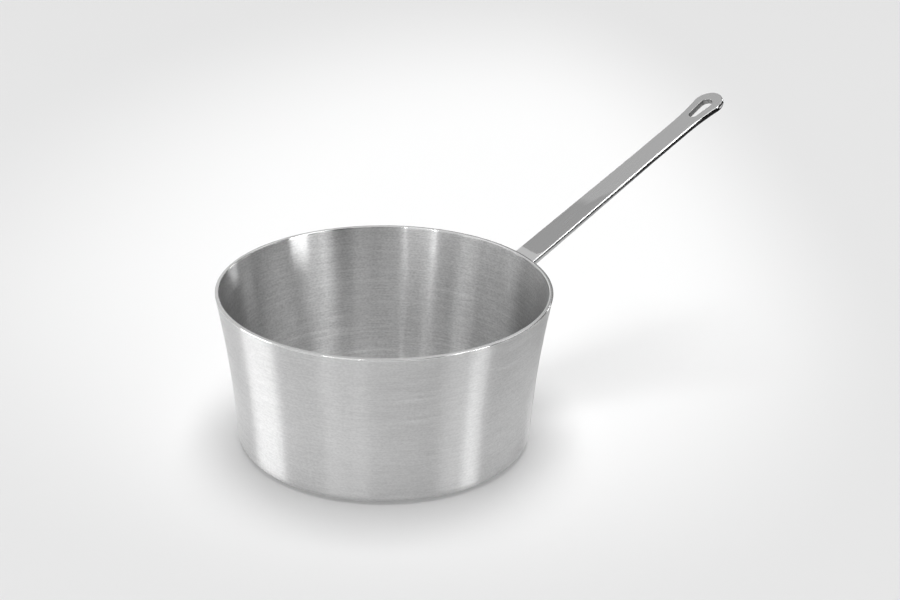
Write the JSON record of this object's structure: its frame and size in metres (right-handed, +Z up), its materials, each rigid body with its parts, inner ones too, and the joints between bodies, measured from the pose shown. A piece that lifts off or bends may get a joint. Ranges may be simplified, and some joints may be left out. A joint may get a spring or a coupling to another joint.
{
  "type": "saucepan",
  "caption": "Flared open saucepan in brushed clad steel with a long, rising, flat strip handle, a rounded head and a teardrop hanging hole.",
  "frame": {"origin": "centre of the flat underside of the base, where the pan stands", "axes": "+Z up out of the pan's mouth, +X along the handle away from the pan, and Y across it"},
  "size_m": [0.3627, 0.2, 0.173],
  "materials": {
    "outer_skin": "fine circular brushing, satin",
    "aluminium_core": "ground edge, dull",
    "inner_liner": "fine circular brushing, satin",
    "handle_bar": "satin faces brushed lengthwise, polished sides and rounded edges",
    "mounting_plate": "satin",
    "spot_welds": "pressed weld marks, cleaned",
    "handle_weld": "weld bead, blended and polished"
  },
  "bodies": {
    "root": {"outer_skin": "outer_skin", "aluminium_core": "aluminium_core", "inner_liner": "inner_liner", "handle_bar": "handle_bar", "mounting_plate": "mounting_plate", "spot_welds": "spot_welds", "handle_weld": "handle_weld"}
  },
  "joints": []
}
